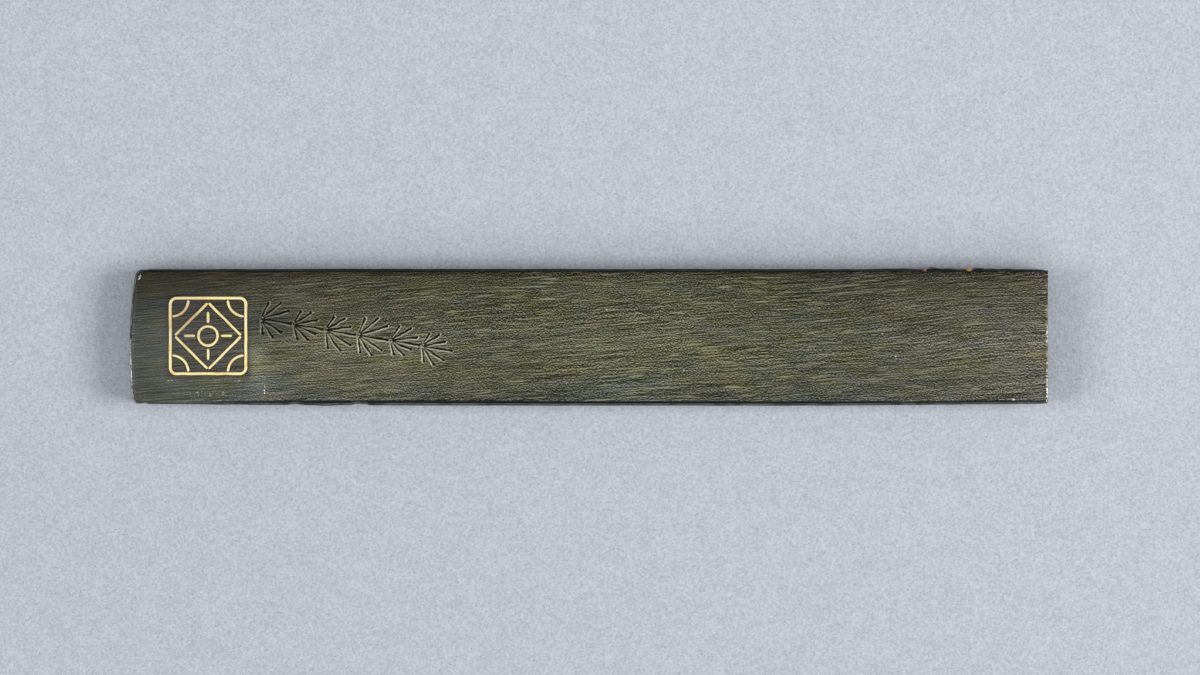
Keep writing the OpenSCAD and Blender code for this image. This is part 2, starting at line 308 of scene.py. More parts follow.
def file_marks(s, p, x, y, calm):
    """The plate's file marks, bright above 0.5 and dark below it, and the place along and across them."""
    # They run along the handle and rise a little towards the mouth
    sway = s.noise(p, (15.0, 4.5, 1), detail=0.0, shift=2.0)
    across = s.math("SUBTRACT", y, s.math("MULTIPLY_ADD", x, file_slope, sway))
    run = s.join(x, across, 0.0)
    beside = s.join(x, s.math("ADD", across, 0.115), 0.0)
    # Marks of several lengths: (length, width), weight
    layers = (
        ((0.15, 0.13), 0.64),
        ((1.6, 0.13), 0.18),
        ((3.4, 0.132), 0.215),
        ((6.5, 0.135), 0.135),
        ((8.0, 2.2), 0.01),
    )
    # Each layer less a part of itself a little further up leaves thin, crisp lines
    less = 0.45
    marks = 0.5 - 0.5 * (1 - less) * sum(weight for _, weight in layers)
    fine = s.range(x, -45.0, -15.0, 0.45, 1.0)
    for i, (cell, weight) in enumerate(layers):
        for vector, share in ((run, weight), (beside, -less * weight)):
            layer = s.noise(vector, (*cell, 1), detail=0.0, shift=3.1 + 4.7 * i)
            if i == 0:
                # The shortest marks are fainter towards the butt
                layer = s.math("MULTIPLY_ADD", s.math("SUBTRACT", layer, 0.5), fine, 0.5)
            marks = s.math("MULTIPLY_ADD", layer, share, marks)
    return s.node("Mix", i0=calm, i2=marks, i3=0.50), run


def plate_tone_and_shade(s, x, y, span, left, cloud):
    """Painted shade across the plate, darker towards the upper side, above all near the butt, and tones along
    it.
    """
    # Painted shade of the crowned plate, darker towards both long edges, most of all the upper one near the
    # butt
    cross = s.range(y, -7.0, 7.0)
    body = s.ramp(cross, [(0.0, 0.82), (0.10, 0.96), (0.42, 1.14), (0.55, 1.04), (0.70, 0.90), (1.0, 0.86)])
    butt = s.ramp(cross, [
        (0.0, 1.05), (0.15, 1.14), (0.42, 1.18), (0.55, 1.12),
        (0.70, 0.85), (0.86, 0.56), (0.93, 0.52), (1.0, 0.85),
    ])
    along = s.ramp(span, [
        (0.0, 0.86), (0.20, 0.89), (0.31, 0.81), (0.43, 0.77), (0.55, 0.92),
        (0.62, 0.86), (0.72, 0.76), (0.80, 0.77), (0.88, 0.85), (1.0, 0.83),
    ])
    # More painted shade below the upper edge, in the middle of the plate
    dim = s.ramp(span, [(0.34, 0.17), (0.47, 0.02), (0.60, 0.02), (0.70, 0.17)])
    dim = s.times(dim, s.range(y, 4.0, 5.6, smooth=True))
    # The rubbed stretch below the engraving
    rubbed = s.times(s.range(x, -40.0, -33.0, smooth=True), s.range(x, -13.0, -24.0, smooth=True))
    rubbed = s.times(rubbed, s.range(y, 1.5, -1.5, smooth=True))
    tone = s.node("Mix", i0=left, i2=body, i3=butt)
    for factor in (
        along,
        s.math("SUBTRACT", 1.0, dim),
        s.range(cloud, 0.3, 0.7, 0.93, 1.07),
        s.range(x, -47.5, -44.0, 0.80, 1.0, smooth=True),
        s.range(x, 40.0, 46.5, 1.0, 1.10, smooth=True),
        s.range(x, 45.5, 48.5, 1.0, 1.09, smooth=True),
        s.math("MULTIPLY_ADD", rubbed, 0.20, 1.0),
        s.math("ADD", s.attribute("rub"), 1.0),
    ):
        tone = s.times(tone, factor)
    return tone


def plate_material():
    """Dark olive patina over file marks, with painted highlights and shade, bright where worn, dark in the
    cuts.
    """
    s = Shader("plate_patina")
    p = s.place()
    x, y, z = s.split(p)
    span = s.range(x, -50.0, 50.0)
    # The file marks are fainter near the ends, above all the butt, and absent from the cuts' walls
    calm = s.ramp(span, [
        (0.06, 0.54), (0.16, 0.28), (0.30, 0.17), (0.44, 0.0), (0.70, 0.0), (0.84, 0.10),
    ])
    calm = s.math("MAXIMUM", calm, s.range(z, 4.92, 4.78))
    marks, run = file_marks(s, p, x, y, calm)
    # The marks' bright and dark lines: patina and bare metal, with painted light on the ridges and painted
    # shade in the grooves
    colour = s.ramp(marks, [
        (0.345, (0.006, 0.006, 0.002)),
        (0.42, (0.046, 0.049, 0.021)),
        (0.50, (0.119, 0.122, 0.068)),
        (0.58, (0.222, 0.228, 0.140)),
        (0.67, (0.440, 0.445, 0.300)),
    ])
    # Grey-green, brown and yellow-green patches, a cooler butt and lower side, and a warmer mouth
    patch = s.noise(p, (5.0, 2.0, 1), detail=3.0, rough=0.6, shift=5.9)
    cloud = s.noise(p, (3.0, 1.6, 1), detail=3.0, rough=0.6, shift=9.2)
    left = s.range(x, -43.0, -27.0, 1.0, 0.0, smooth=True)
    low = s.times(s.range(y, -3.5, -6.6), s.math("SUBTRACT", 1.0, left))
    for factor, by in (
        (s.range(patch, 0.50, 0.36), (0.93, 0.97, 1.10)),
        (s.range(patch, 0.50, 0.62), (1.03, 1.03, 0.86)),
        (s.range(cloud, 0.56, 0.68), (1.11, 0.97, 0.98)),
        (s.range(x, -6.0, -26.0), (1.03, 0.98, 1.03)),
        (left, (0.92, 1.00, 1.32)),
        (s.times(left, s.range(y, 2.8, 5.2)), (1.09, 0.97, 0.88)),
        (s.times(low, s.range(x, 22.0, 38.0, 1.0, 0.4)), (0.94, 0.98, 1.26)),
        (s.range(x, 20.0, 34.0), (1.0, 0.99, 1.13)),
        (s.range(x, 36.0, 46.0), (1.06, 0.99, 1.04)),
    ):
        colour = s.tint(factor, colour, by)
    colour = s.shade(colour, plate_tone_and_shade(s, x, y, span, left, cloud))
    # Long dark scratches, pale glints and bare specks of metal
    scratch = s.noise(run, (5.0, 0.15, 1), detail=0.0, shift=12.4)
    scratch = s.times(s.range(scratch, 0.69, 0.76, 0.0, 0.75), s.math("SUBTRACT", 1.0, calm))
    colour = s.mix(scratch, colour, (0.012, 0.011, 0.006))
    glint = s.noise(run, (3.2, 0.14, 1), detail=0.0, shift=17.9)
    glint = s.times(s.range(glint, 0.70, 0.77, 0.0, 0.75), s.math("MULTIPLY_ADD", calm, -2.0, 1.0))
    colour = s.mix(glint, colour, (0.42, 0.41, 0.22))
    speck = s.noise(p, (0.34, 0.15, 1), detail=0.0, shift=31.0)
    colour = s.mix(s.times(s.range(speck, 0.85, 0.88), 0.8), colour, (0.62, 0.58, 0.46))

    cut, wear = s.attribute("cut"), s.attribute("wear")
    colour = s.tint(s.attribute("stain"), colour, (0.56, 0.60, 0.74))
    colour = s.tint(s.attribute("halo"), colour, (0.66, 0.54, 0.60))
    # Painted shade along the upper edge
    colour = s.tint(s.attribute("top"), colour, (0.66, 0.58, 0.60))
    # Seam dirt with painted shade, near black
    colour = s.mix(s.times(s.attribute("grime_and_shade"), 0.95), colour, (0.005, 0.005, 0.004))
    colour = s.mix(s.times(cut, 0.97, clamp=True), colour, (0.003, 0.003, 0.002))
    # Painted highlight on the burrs beside the cuts
    colour = s.mix(s.attribute("burr"), colour, (0.86, 0.82, 0.60))
    # Worn places and painted highlights break up into dots where they are slight
    scuff = s.noise(p, (0.20, 0.13, 1), detail=0.0, shift=2.2)
    worn = s.range(s.math("MULTIPLY_ADD", wear, 0.42, scuff), 0.64, 0.78)
    colour = s.mix(s.times(worn, s.range(wear, 0.0, 0.15)), colour, (0.92, 0.91, 0.86))

    rough = s.math("ADD", s.range(marks, 0.42, 0.60, 0.60, 0.42), s.times(cut, 0.2))
    bump = s.bump(marks, 0.03, 0.55)
    return s.set(Base_Color=colour, Metallic=0.55, Roughness=rough, Specular_IOR_Level=0.2, Normal=bump)


def shell_material(name, dark, light):
    """The case's plates and strips: a darker, smoother patina, worn along the edges, with painted highlights
    and shade.
    """
    s = Shader(name)
    p = s.place()
    mottle = s.noise(p, (1.4, 0.7, 0.7), detail=4.0, rough=0.6, shift=4.0)
    lines = s.noise(p, (2.6, 0.14, 0.14), detail=2.0, rough=0.6, shift=8.0)
    both = s.math("ADD", s.times(mottle, 0.55), s.times(lines, 0.45))
    colour = s.ramp(both, [(0.36, dark), (0.62, light)])
    wear = s.times(s.attribute("wear"), s.range(mottle, 0.38, 0.58), clamp=True)
    colour = s.mix(wear, colour, (0.80, 0.79, 0.74))
    # Seam dirt and painted shade
    colour = s.mix(s.times(s.attribute("grime_and_shade"), 0.95), colour, (0.006, 0.006, 0.005))
    rough = s.range(both, 0.4, 0.6, 0.52, 0.38)
    return s.set(Base_Color=colour, Metallic=0.6, Roughness=rough, Normal=s.bump(both, 0.02, 0.7))


def gold_material():
    """Bright yellow gold, paler where it is rubbed and orange-brown along its edges."""
    s = Shader("gold_inlay")
    p = s.place()
    tone = s.noise(p, (1.3, 1.3, 1.3), detail=2.0, shift=2.0)
    dirt = s.noise(p, (0.30, 0.30, 0.30), detail=3.0, rough=0.65, shift=6.0)
    colour = s.ramp(tone, [
        (0.34, (1.00, 0.76, 0.28)),
        (0.42, (1.00, 0.93, 0.41)),
        (0.62, (1.00, 0.98, 0.54)),
    ])
    colour = s.mix(s.range(dirt, 0.46, 0.32, 0.0, 0.8), colour, (1.0, 1.0, 0.80))
    colour = s.mix(s.range(dirt, 0.58, 0.74, 0.0, 0.7), colour, (0.46, 0.27, 0.10))
    colour = s.tint(s.attribute("dull"), colour, (0.58, 0.48, 0.56))
    colour = s.mix(s.times(s.attribute("edge"), 0.90), colour, (0.46, 0.21, 0.045))
    colour = s.tint(s.attribute("warm"), colour, (0.80, 0.56, 0.48))
    rough = s.range(dirt, 0.3, 0.7, 0.40, 0.56)
    return s.set(Base_Color=colour, Metallic=0.12, Roughness=rough, Normal=s.bump(dirt, 0.03, 0.8))


def copper_material():
    s = Shader("copper_relief")
    p = s.place()
    tone = s.noise(p, (1.0, 0.6, 0.6), detail=3.0, rough=0.6, shift=3.0)
    colour = s.ramp(tone, [(0.35, (0.13, 0.045, 0.022)), (0.65, (0.40, 0.15, 0.07))])
    colour = s.mix(s.times(s.attribute("low"), 0.9), colour, (0.030, 0.014, 0.010))
    rough = s.range(tone, 0.3, 0.7, 0.5, 0.34)
    return s.set(Base_Color=colour, Metallic=0.8, Roughness=rough, Normal=s.bump(tone, 0.03, 0.7))


def solder_material():
    s = Shader("solder")
    p = s.place()
    tone = s.noise(p, (0.8, 0.5, 0.5), detail=3.0, rough=0.6, shift=1.0)
    colour = s.ramp(tone, [(0.35, (0.20, 0.19, 0.17)), (0.65, (0.42, 0.41, 0.38))])
    return s.set(Base_Color=colour, Metallic=0.8, Roughness=0.5, Normal=s.bump(tone, 0.08, 0.8))


def gap_shadow_material():
    """Painted shadow: a thin dark brown line in a groove's lip, for the gap beside the gold."""
    s = Shader("groove_gap_shadow")
    tone = s.noise(s.place(), (0.5, 0.5, 0.5), detail=2.0, shift=3.5)
    colour = s.ramp(tone, [(0.4, (0.018, 0.010, 0.005)), (0.65, (0.085, 0.042, 0.016))])
    return s.set(Base_Color=colour, Metallic=0.2, Roughness=0.65)


def paper_material():
    s = Shader("backdrop_paper")
    p = s.place()
    x, y = s.split(p)[:2]
    soft = s.noise(p, (2.2, 2.2, 2.2), detail=3.0, rough=0.6, shift=1.0)
    fibre = s.noise(p, (0.26, 0.26, 0.26), detail=3.0, rough=0.65, shift=4.0)
    fleck = s.noise(p, (0.55, 0.40, 0.5), detail=1.0, rough=0.4, shift=8.0)
    tone = s.math("MULTIPLY_ADD", soft, 0.14, s.times(fibre, 0.86))
    colour = s.ramp(tone, [(0.34, (0.445, 0.475, 0.532)), (0.66, (0.637, 0.663, 0.720))])
    dot = s.noise(p, (0.17, 0.17, 0.17), detail=0.0, shift=14.0)
    colour = s.mix(s.range(dot, 0.74, 0.82, 0.0, 0.55), colour, (0.26, 0.28, 0.33))
    colour = s.mix(s.range(fleck, 0.68, 0.78, 0.0, 0.5), colour, (0.34, 0.36, 0.41))
    # Painted light falloff: the sheet is a little paler up and to the right
    pale = s.range(s.math("ADD", y, s.times(x, 0.6)), -50.0, 50.0, 0.965, 1.035)
    colour = s.shade(colour, pale)
    return s.set(Base_Color=colour, Roughness=0.9, Normal=s.bump(tone, 0.12, 0.8))


plate_mat = plate_material()
case_mat = shell_material("case_patina", (0.023, 0.023, 0.022), (0.057, 0.057, 0.055))
front_mat = shell_material("front_patina", (0.014, 0.013, 0.014), (0.048, 0.046, 0.046))
branch_mat = shell_material("branch_patina", (0.036, 0.034, 0.031), (0.150, 0.143, 0.134))
gold_mat = gold_material()
copper_mat = copper_material()
solder_mat = solder_material()
gap_shadow_mat = gap_shadow_material()
paper_mat = paper_material()

# ----- outlines

wander = Lattice(11, 2.3, 1.0)
ripple = Lattice(12, 0.7, 0.7)


def lower_face(x):
    """Outer face of the lower strip, as a distance from the centre line. The case is a little barrelled,
    and nicked."""
    s = np.abs(np.asarray(x, float) / mouth_x)
    y = cap_half_lo + 0.215 * (1 - s**3) + 0.012 * wander(x, 5.0)
    y = y - 0.13 * bump_at(x, -31.0, 0.55)
    y = y - 0.16 * (ease(x, -25.2, -24.7) - ease(x, -23.6, -23.0))
    return y + 0.06 * bump_at(x, -28.0, 0.9) + 0.03 * bump_at(x, 27.0, 8.0)


# The backs of the chased swellings beside the buds, as (x, width, height)
swellings = (
    (31.0, 0.9, 0.04), (33.0, 0.7, 0.04), (36.5, 0.5, 0.11), (38.2, 0.5, 0.05),
    (41.3, 0.5, 0.10), (42.6, 0.4, 0.05), (44.2, 0.6, 0.04),
)


def upper_face(x):
    """Outer face of the upper strip."""
    s = np.abs(np.asarray(x, float) / mouth_x)
    y = cap_half_hi + 0.06 * (1 - s**3) + 0.03 * bump_at(x, -25.0, 10.0)
    y = y + 0.014 * wander(x, 9.0) + 0.012 * ripple(x, 3.0)
    for cx, width, height in swellings:
        y = y + height * bump_at(x, cx, width)
    return y


def plate_lower(x):
    """Lower edge of the back plate: it meets the case's side near the butt, and leaves a ledge further
    on."""
    y = 7.03 - 0.06 * ease(x, -44.5, -48.0) - 0.20 * ease(x, -44.0, -33.0)
    y = y + 0.07 * ease(x, -14.0, -2.0) - 0.07 * ease(x, 33.0, 42.0)
    y = y + 0.035 * bump_at(x, 27.0, 9.0)
    return y + 0.018 * wander(x, 21.0)


def plate_upper(x):
    """Upper edge of the back plate, with a small notch where each bud laps over it."""
    y = 7.02 + 0.014 * wander(x, 31.0)
    return y - 0.10 * bump_at(x, 35.5, 0.38) - 0.12 * bump_at(x, 40.2, 0.45) - 0.03 * bump_at(x, 37.6, 1.0)


def bow_x(y, r, half_lo, half_hi, corner, inset):
    """X of the bowed butt's edge at each y, with rounded corners."""
    y = np.asarray(y, float)
    cx = butt_x + r + inset
    out = cx - np.sqrt(np.maximum(r * r - y * y, 0))
    for sign, half in ((1, half_hi), (-1, half_lo)):
        yc = half - corner
        xc = cx - math.sqrt((r - corner) ** 2 - yc * yc)
        d = np.clip(y * sign - yc, 0, corner)
        on = y * sign > yc * r / (r - corner)
        out = np.where(on, xc - np.sqrt(np.maximum(corner**2 - d**2, 0)), out)
    return out + butt_lean * y


# ----- chiselled sprig


def sprig_strokes():
    """The sprig's cuts as (x0, y0, x1, y1, depth), by the same rule as the CAD model's."""
    x0, y0, pitch, gap, leaf = -34.6, 1.9, 3.45, 0.3, 2.7
    slope = math.radians(-9.5)
    leans, sizes = (20, 43, 70), (1.0, 0.86, 0.56)

    def at(i, angle, along):
        jx = x0 + math.cos(slope) * pitch * i
        jy = y0 + math.sin(slope) * pitch * i
        a = slope + math.radians(angle)
        return jx + math.cos(a) * along, jy + math.sin(a) * along

    cuts = []
    for i in range(6):
        cuts.append((*at(i, 0, 0), *at(i, 0, pitch - gap), 0.9))
        for side in (-1, 1):
            swing = 6 * math.sin(math.radians(131 * i + 57 * side))
            size = 0.92 + 0.14 * math.sin(math.radians(97 * i + 140 * side))
            for lean, k in zip(leans, sizes):
                a = side * lean + swing
                cuts.append((*at(i, a, gap), *at(i, a, gap + leaf * k * size), 1.0))
    return cuts


hand = Lattice(61, 0.55, 0.55)


def carve(x, y):
    """Depth of the cuts, height of the burrs beside them with a painted highlight on them, and how much of
    each there is, at each point.
    """
    depth = np.zeros_like(x)
    burr = np.zeros_like(x)
    inside = np.zeros_like(x)
    for k, (x0, y0, x1, y1, d) in enumerate(sprig_strokes()):
        near = (x > min(x0, x1) - 0.6) & (x < max(x0, x1) + 0.6)
        near &= (y > min(y0, y1) - 0.6) & (y < max(y0, y1) + 0.6)
        px = x[near] + 0.05 * hand(x[near], y[near])
        py = y[near] + 0.05 * hand(x[near] + 20, y[near])
        dx, dy = x1 - x0, y1 - y0
        length = math.hypot(dx, dy)
        t = np.clip(((px - x0) * dx + (py - y0) * dy) / length**2, 0, 1)
        off = np.hypot(px - x0 - t * dx, py - y0 - t * dy)
        side = ((px - x0) * dy - (py - y0) * dx) / length
        w = 0.085 + 0.05 * t**0.8 + 0.02 * np.sin(7 * t + k)
        v = np.clip(1 - off / w, 0, 1)
        dot = np.clip(1 - (np.hypot(px - x1, py - y1) / 0.19) ** 2, 0, 1)
        cut = d * np.maximum(0.10 * v**0.8, 0.13 * dot)
        depth[near] = np.maximum(depth[near], cut)
        inside[near] = np.maximum(inside[near], np.clip(2.6 * np.maximum(v, dot), 0, 1))
        # The burr is higher on one side of each cut and painted bright there, more so towards the right, as a
        # highlight
        edge = np.exp(-(((off - w - 0.045) / 0.05) ** 2)) * (0.58 + 0.42 * np.sign(side))
        edge *= (0.5 + 0.5 * t) * (0.45 + 0.55 * ease(px, -31.0, -23.0))
        burr[near] = np.maximum(burr[near], edge)
    return depth, burr * (1 - inside), inside


# ----- back plate

file_a = Lattice(1, 2.4, 0.22)
file_b = Lattice(2, 5.5, 0.5)
file_c = Lattice(3, 12.0, 3.5)


def drop(d, a, b):
    """How far a rounded edge of width a and depth b has fallen at a distance d from the edge."""
    t = np.clip(1 - d / a, 0, 1)
    return b * (1 - np.sqrt(1 - t * t))


def crown_z(y):
    return top_z - crown_sag * (np.asarray(y, float) / 6.95) ** 2


bud_x = (35.5, 40.2)
# Where the columns that follow the bowed butt give way to straight ones
warp_x = -44.7
# Bare specks of metal, painted near white as glints, as (x, y, radius)
specks = (
    (1.87, 2.89, 0.05), (-36.78, -4.72, 0.09), (48.13, 4.68, 0.08), (44.86, -6.62, 0.10), (43.27, 5.53, 0.06),
    (8.53, 4.47, 0.05), (31.02, 0.35, 0.045), (10.01, -3.55, 0.045), (32.4, -2.08, 0.045),
)
# Faint scuffs below the seal as (x, y, length, width, amount)
scuffs = (
    (-44.0, -4.65, 0.5, 0.16, 0.15), (-38.3, -4.65, 1.3, 0.10, 0.13),
    (-34.25, -5.6, 0.06, 0.8, 0.32), (-40.2, -6.05, 2.2, 0.24, 0.13),
)
# Paler and darker patches of the patina as (x, y, length, width, change of tone)
patches = (
    (-4.5, -6.2, 5.0, 0.8, -0.27), (38.0, -6.4, 4.0, 0.6, 0.20), (23.0, -6.4, 2.0, 0.5, 0.16),
    (29.0, 6.65, 2.5, 0.5, 0.42), (47.3, 6.8, 1.5, 0.35, 0.45), (-46.9, 6.5, 1.0, 0.5, 0.38),
    (39.5, 6.1, 2.0, 0.5, 0.45), (17.0, 4.15, 2.5, 0.7, -0.20), (23.0, -4.6, 2.5, 0.7, -0.20),
    (-7.0, -1.75, 3.0, 0.8, -0.15), (11.0, -1.75, 2.0, 0.8, -0.15), (8.0, 1.25, 4.0, 0.7, 0.16),
    (-46.5, 5.3, 1.0, 0.6, 0.20), (-45.4, -5.65, 1.2, 0.5, -0.20), (-33.1, -1.75, 1.5, 0.6, -0.24),
    (-19.0, -5.65, 2.5, 0.5, 0.18), (-35.0, 6.1, 7.0, 0.45, -0.20), (42.5, -5.0, 5.5, 0.8, 0.15),
    (4.6, -6.35, 2.2, 0.4, 0.27), (14.0, -6.2, 4.5, 0.6, -0.22), (-1.5, 6.7, 2.0, 0.35, -0.25),
    (31.5, 5.3, 4.0, 0.6, -0.13), (5.0, 5.3, 2.5, 0.5, -0.13),
)


def plate_grid():
    """X and Y over the plate, closer together at edges, cuts and specks, and X of the butt's edge."""
    butt_steps = [0, 0.03, 0.07, 0.12, 0.19, 0.28, 0.4, 0.6, 0.85, 1.15, 1.5, 1.9, 2.3, 2.7, 3.1, 3.5]
    beside = (-0.32, -0.2, -0.12, -0.06, 0.0, 0.06, 0.12, 0.2, 0.32)
    near = [x + k for x, _, _ in specks for k in beside]
    near += [x + k for x in bud_x for k in np.arange(-0.9, 0.95, 0.15)]
    near = [x for x in near if -11.9 < x < 48.05]
    columns = np.concatenate([
        np.arange(-44.4, -35.7, 0.3),
        np.arange(-35.6, -12.1, 0.072),
        np.unique(np.concatenate([np.arange(-12.0, 48.0, 0.6), near])),
        mouth_x - np.array([0.42, 0.32, 0.24, 0.17, 0.11, 0.06, 0.025, 0.0]),
    ])
    lo_edge = np.array([0, 0.03, 0.07, 0.12, 0.18, 0.26, 0.36, 0.48])
    hi_edge = np.concatenate([lo_edge, [0.62, 0.78, 0.95]])
    middle = np.concatenate([
        np.arange(-6.3, -3.72, 0.15), np.arange(-3.7, 3.95, 0.066), np.arange(3.98, 5.95, 0.15),
    ])

    # Rows follow the two edges, then run straight between them
    first = len(butt_steps)
    X = np.zeros((first + len(columns), len(lo_edge) + len(middle) + len(hi_edge)))
    Y = np.zeros_like(X)
    X[first:] = columns[:, None]
    for i, x in enumerate(columns, first):
        Y[i] = np.concatenate([lo_edge - plate_lower(x), middle, (plate_upper(x) - hi_edge)[::-1]])
    # At the butt they settle from its outline to the plate's own edges
    butt_y = np.concatenate([lo_edge - plate_half_lo, middle, (plate_half_hi - hi_edge)[::-1]])
    inset = 0.18
    edge_x = bow_x(butt_y, butt_r - inset, plate_half_lo, plate_half_hi, 0.75, inset)
    for i, step in enumerate(butt_steps):
        s = step / butt_steps[-1]
        t = ease(s, 0.3, 1.0)
        X[i] = edge_x + s * (warp_x - edge_x)
        Y[i] = (1 - t) * butt_y + t * Y[first]
    return X, Y, edge_x


def plate_height(X, Y, lo, hi, d_butt):
    """Height of the plate before it is cut, with lo and hi the Y of its edges and d_butt the distance
    from the butt's edge."""
    slant = Y - file_slope * X
    calm = 1 - 0.6 * ease(X, -29.0, -42.0)
    Z = crown_z(Y)
    Z += calm * (0.0045 * file_a(X, slant) + 0.006 * file_b(X, slant)) + 0.018 * file_c(X, Y)
    Z -= drop(Y - lo, 0.42, 0.30) + drop(hi - Y, 1.0, 0.42)
    Z -= drop(d_butt, 0.36, 0.22) + drop(mouth_x - X, 0.13, 0.11)
    Z -= 0.10 * bump_at(X, butt_x + 1.0, 0.9) * bump_at(Y, 6.7, 0.7)
    # Small knocks along the two long edges and the mouth
    knock = np.clip(ripple(X * 0.5, Y * 0.5) - 0.35, 0, 1)
    Z -= 0.10 * knock * (bump_at(Y, -7.0, 0.28) + bump_at(Y, 7.0, 0.35) + bump_at(X, mouth_x, 0.2))
    return Z


def plate_marks(X, Y, lo, hi, d_butt):
    """How worn, stained, rubbed or dirty the plate is at each point, with its painted shade and highlights,
    by the name of each vertex value.
    """
    # Painted highlight along the mouth's rounded edge and at the butt's upper corner, with the wear of the
    # specks and scuffs
    wear = bump_at(X, mouth_x - 0.10, 0.050) * ease(Y, 3.6, 1.4)
    wear *= 0.44 + 0.34 * ease(Y, -3.6, -5.2)
    wear += 1.1 * bump_at(d_butt, 0.34, 0.07) * bump_at(Y, 6.25, 0.25)
    wear += spots(X, Y, [(sx, sy, radius, radius, 1.0) for sx, sy, radius in specks])
    wear += spots(X, Y, scuffs)
    stain = bump_at(X, -33.2, 2.6) * bump_at(Y, 1.2, 1.9)
    # Distance outside the seal, below zero inside it
    box = np.maximum(np.abs(X - seal_x) - seal_w / 2, np.abs(Y - seal_y) - seal_h / 2)
    halo = 0.7 * bump_at(np.maximum(box, -0.3), -0.05, 0.42) + 0.12 * (box < -0.3)
    # Rubbed brighter beside the seal, on its right
    rub = bump_at(X, -35.0, 1.1) * ease(Y, -6.3, -4.5) * ease(Y, 0.5, -2.0) * (box > 0.1)
    rub = 0.45 * rub + spots(X, Y, patches)
    # Painted shade on the shoulder along the upper edge, which turns away from the lamps
    top = 0.65 * ease(Y, hi - 1.25, hi - 0.2)
    top += 0.35 * bump_at(Y, 6.0, 0.6) * ease(X, 20, 40)
    # Seam dirt and painted shade: the lower seam, a ragged band along the upper edge and a line at the butt
    ragged = 0.22 + 0.09 * ripple(X, 30.0) * ease(X, 20.0, 30.0)
    grime_and_shade = ease(0.15 - (Y - lo), 0, 0.08) * (0.2 + 0.8 * ease(X, -42.0, -37.0))
    grime_and_shade += ease(ragged - (hi - Y), 0, 0.14)
    grime_and_shade = np.maximum(grime_and_shade, 0.85 * ease(0.09 - d_butt, 0, 0.06))
    values = {"wear": wear, "stain": stain, "halo": halo, "top": top, "grime_and_shade": grime_and_shade}
    return {**{k: np.clip(v, 0, 1) for k, v in values.items()}, "rub": rub}


def back_plate():
    X, Y, edge_x = plate_grid()
    d_butt = X - edge_x[None, :]
    near_butt = ease(X, warp_x, -47.5)
    lo = -plate_lower(X) * (1 - near_butt) - plate_half_lo * near_butt
    hi = plate_upper(X) * (1 - near_butt) + plate_half_hi * near_butt
    depth, burr, inside = carve(X, Y)
    Z = np.maximum(plate_height(X, Y, lo, hi, d_butt) + 0.022 * burr - depth, strip_h + 0.18)
    verts, faces, wall = closed_sheet(X, Y, Z, strip_h, up=True)
    flat = [len(faces) - 1]
    obj = new_piece("back_plate_filed", verts, faces, [plate_mat], "back_plate", flat=flat)
    marks = plate_marks(X, Y, lo, hi, d_butt)
    marks.update(cut=np.clip(inside, 0, 1), burr=np.clip(burr, 0, 1))
    for name, values in marks.items():
        # The plate's walls are painted dark as shade
        vertex_value(obj, name, np.append(values.ravel(), np.full(wall, float(name == "grime_and_shade"))))


back_plate()

# ----- side strips and butt cap


def side_strip(name, node, side, face, plate_edge, lumps):
    """A strip along one side. Its outer face and the back plate's edge on top of it run with X, and
    its lumps are (x, z, length, height, stands out)."""
    near_mouth = mouth_x - np.array([1.0, 0.7, 0.45, 0.28, 0.15, 0.06, 0.0])
    xs = np.concatenate([np.arange(cap_inner_x, mouth_x - 1.2, 0.25), near_mouth])
    zs = [0.28, 0.5, 0.8, 1.1, 1.4, 1.7, 2.0, 2.4, 2.9, 3.5, strip_h - 0.25]
    bend = [math.radians(a) for a in (0, 30, 60, 90)]
    r = 0.22
    turned_in = 0.16 if side > 0 else 0.05
    # Painted shade on the upper strip's rounded top, in the plate's shade, and on the ledges under the
    # plate's edge, with seam dirt
    top_shade = [0.5, 0.8, 0.9] if side > 0 else [0.0, 0.0, 0.0]
    rings, wear, grime_and_shade = [], [], []
    dent = Lattice(40 + side, 1.6, 0.8)
    for x in xs:
        y_out = face(x) - turned_in * ease(x, mouth_x - 0.8, mouth_x) ** 2
        ring = [(hollow_half_w, 0.0)]
        ring += [(y_out - r + r * math.sin(a), r - r * math.cos(a)) for a in bend[:-1]]
        ring += [(y_out + spots(x, z, lumps) + 0.012 * dent(x, z * 2), z) for z in zs]
        ring += [(y_out - r + r * math.cos(a), strip_h - r + r * math.sin(a)) for a in bend[1:]]
        seam = plate_edge(x)
        for k, d in enumerate((0.12, 0.05, -0.05), 1):
            ring.append((min(seam + d, y_out - r - 0.002 * k), strip_h))
        ring += [(hollow_half_w, strip_h)]
        worn = [0.0] + [0.16] * 3 + [0.06] * len(zs) + [0.10, 0.13, 0.13, 0, 0, 0, 0]
        ledge = 1.0 if side > 0 else 0.25 + 0.75 * ease(x, -38.0, -28.0)
        dirt = [0.0] * (len(worn) - 7) + top_shade + [ledge] * 4
        if side < 0:
            ring, worn, dirt = ring[::-1], worn[::-1], dirt[::-1]
        rings.append([(x, side * y, z) for y, z in ring])
        end = 0.32 * bump_at(x, mouth_x, 0.16)
        wear += [min(1.0, w * 0.6 + end) for w in worn]
        grime_and_shade += dirt
    verts, faces, caps = loft(rings)
    obj = new_piece(name, verts, faces, [case_mat], node, flat=caps)
    vertex_value(obj, "wear", wear)
    vertex_value(obj, "grime_and_shade", grime_and_shade)


upper_lumps = [
    (31.8, 1.3, 0.8, 0.8, 0.06), (33.4, 1.2, 1.0, 0.8, 0.10), (36.3, 1.4, 0.5, 0.7, 0.16),
    (38.0, 1.2, 0.9, 0.8, 0.10), (40.9, 1.3, 0.5, 0.6, 0.14), (42.6, 1.2, 1.0, 0.9, 0.08),
    (44.4, 1.4, 0.6, 0.7, 0.06),
]
side_strip("upper_strip_worn", "upper_side_strip", 1, upper_face, plate_upper, upper_lumps)
side_strip("lower_strip_worn", "lower_side_strip", -1, lower_face, plate_lower, [])


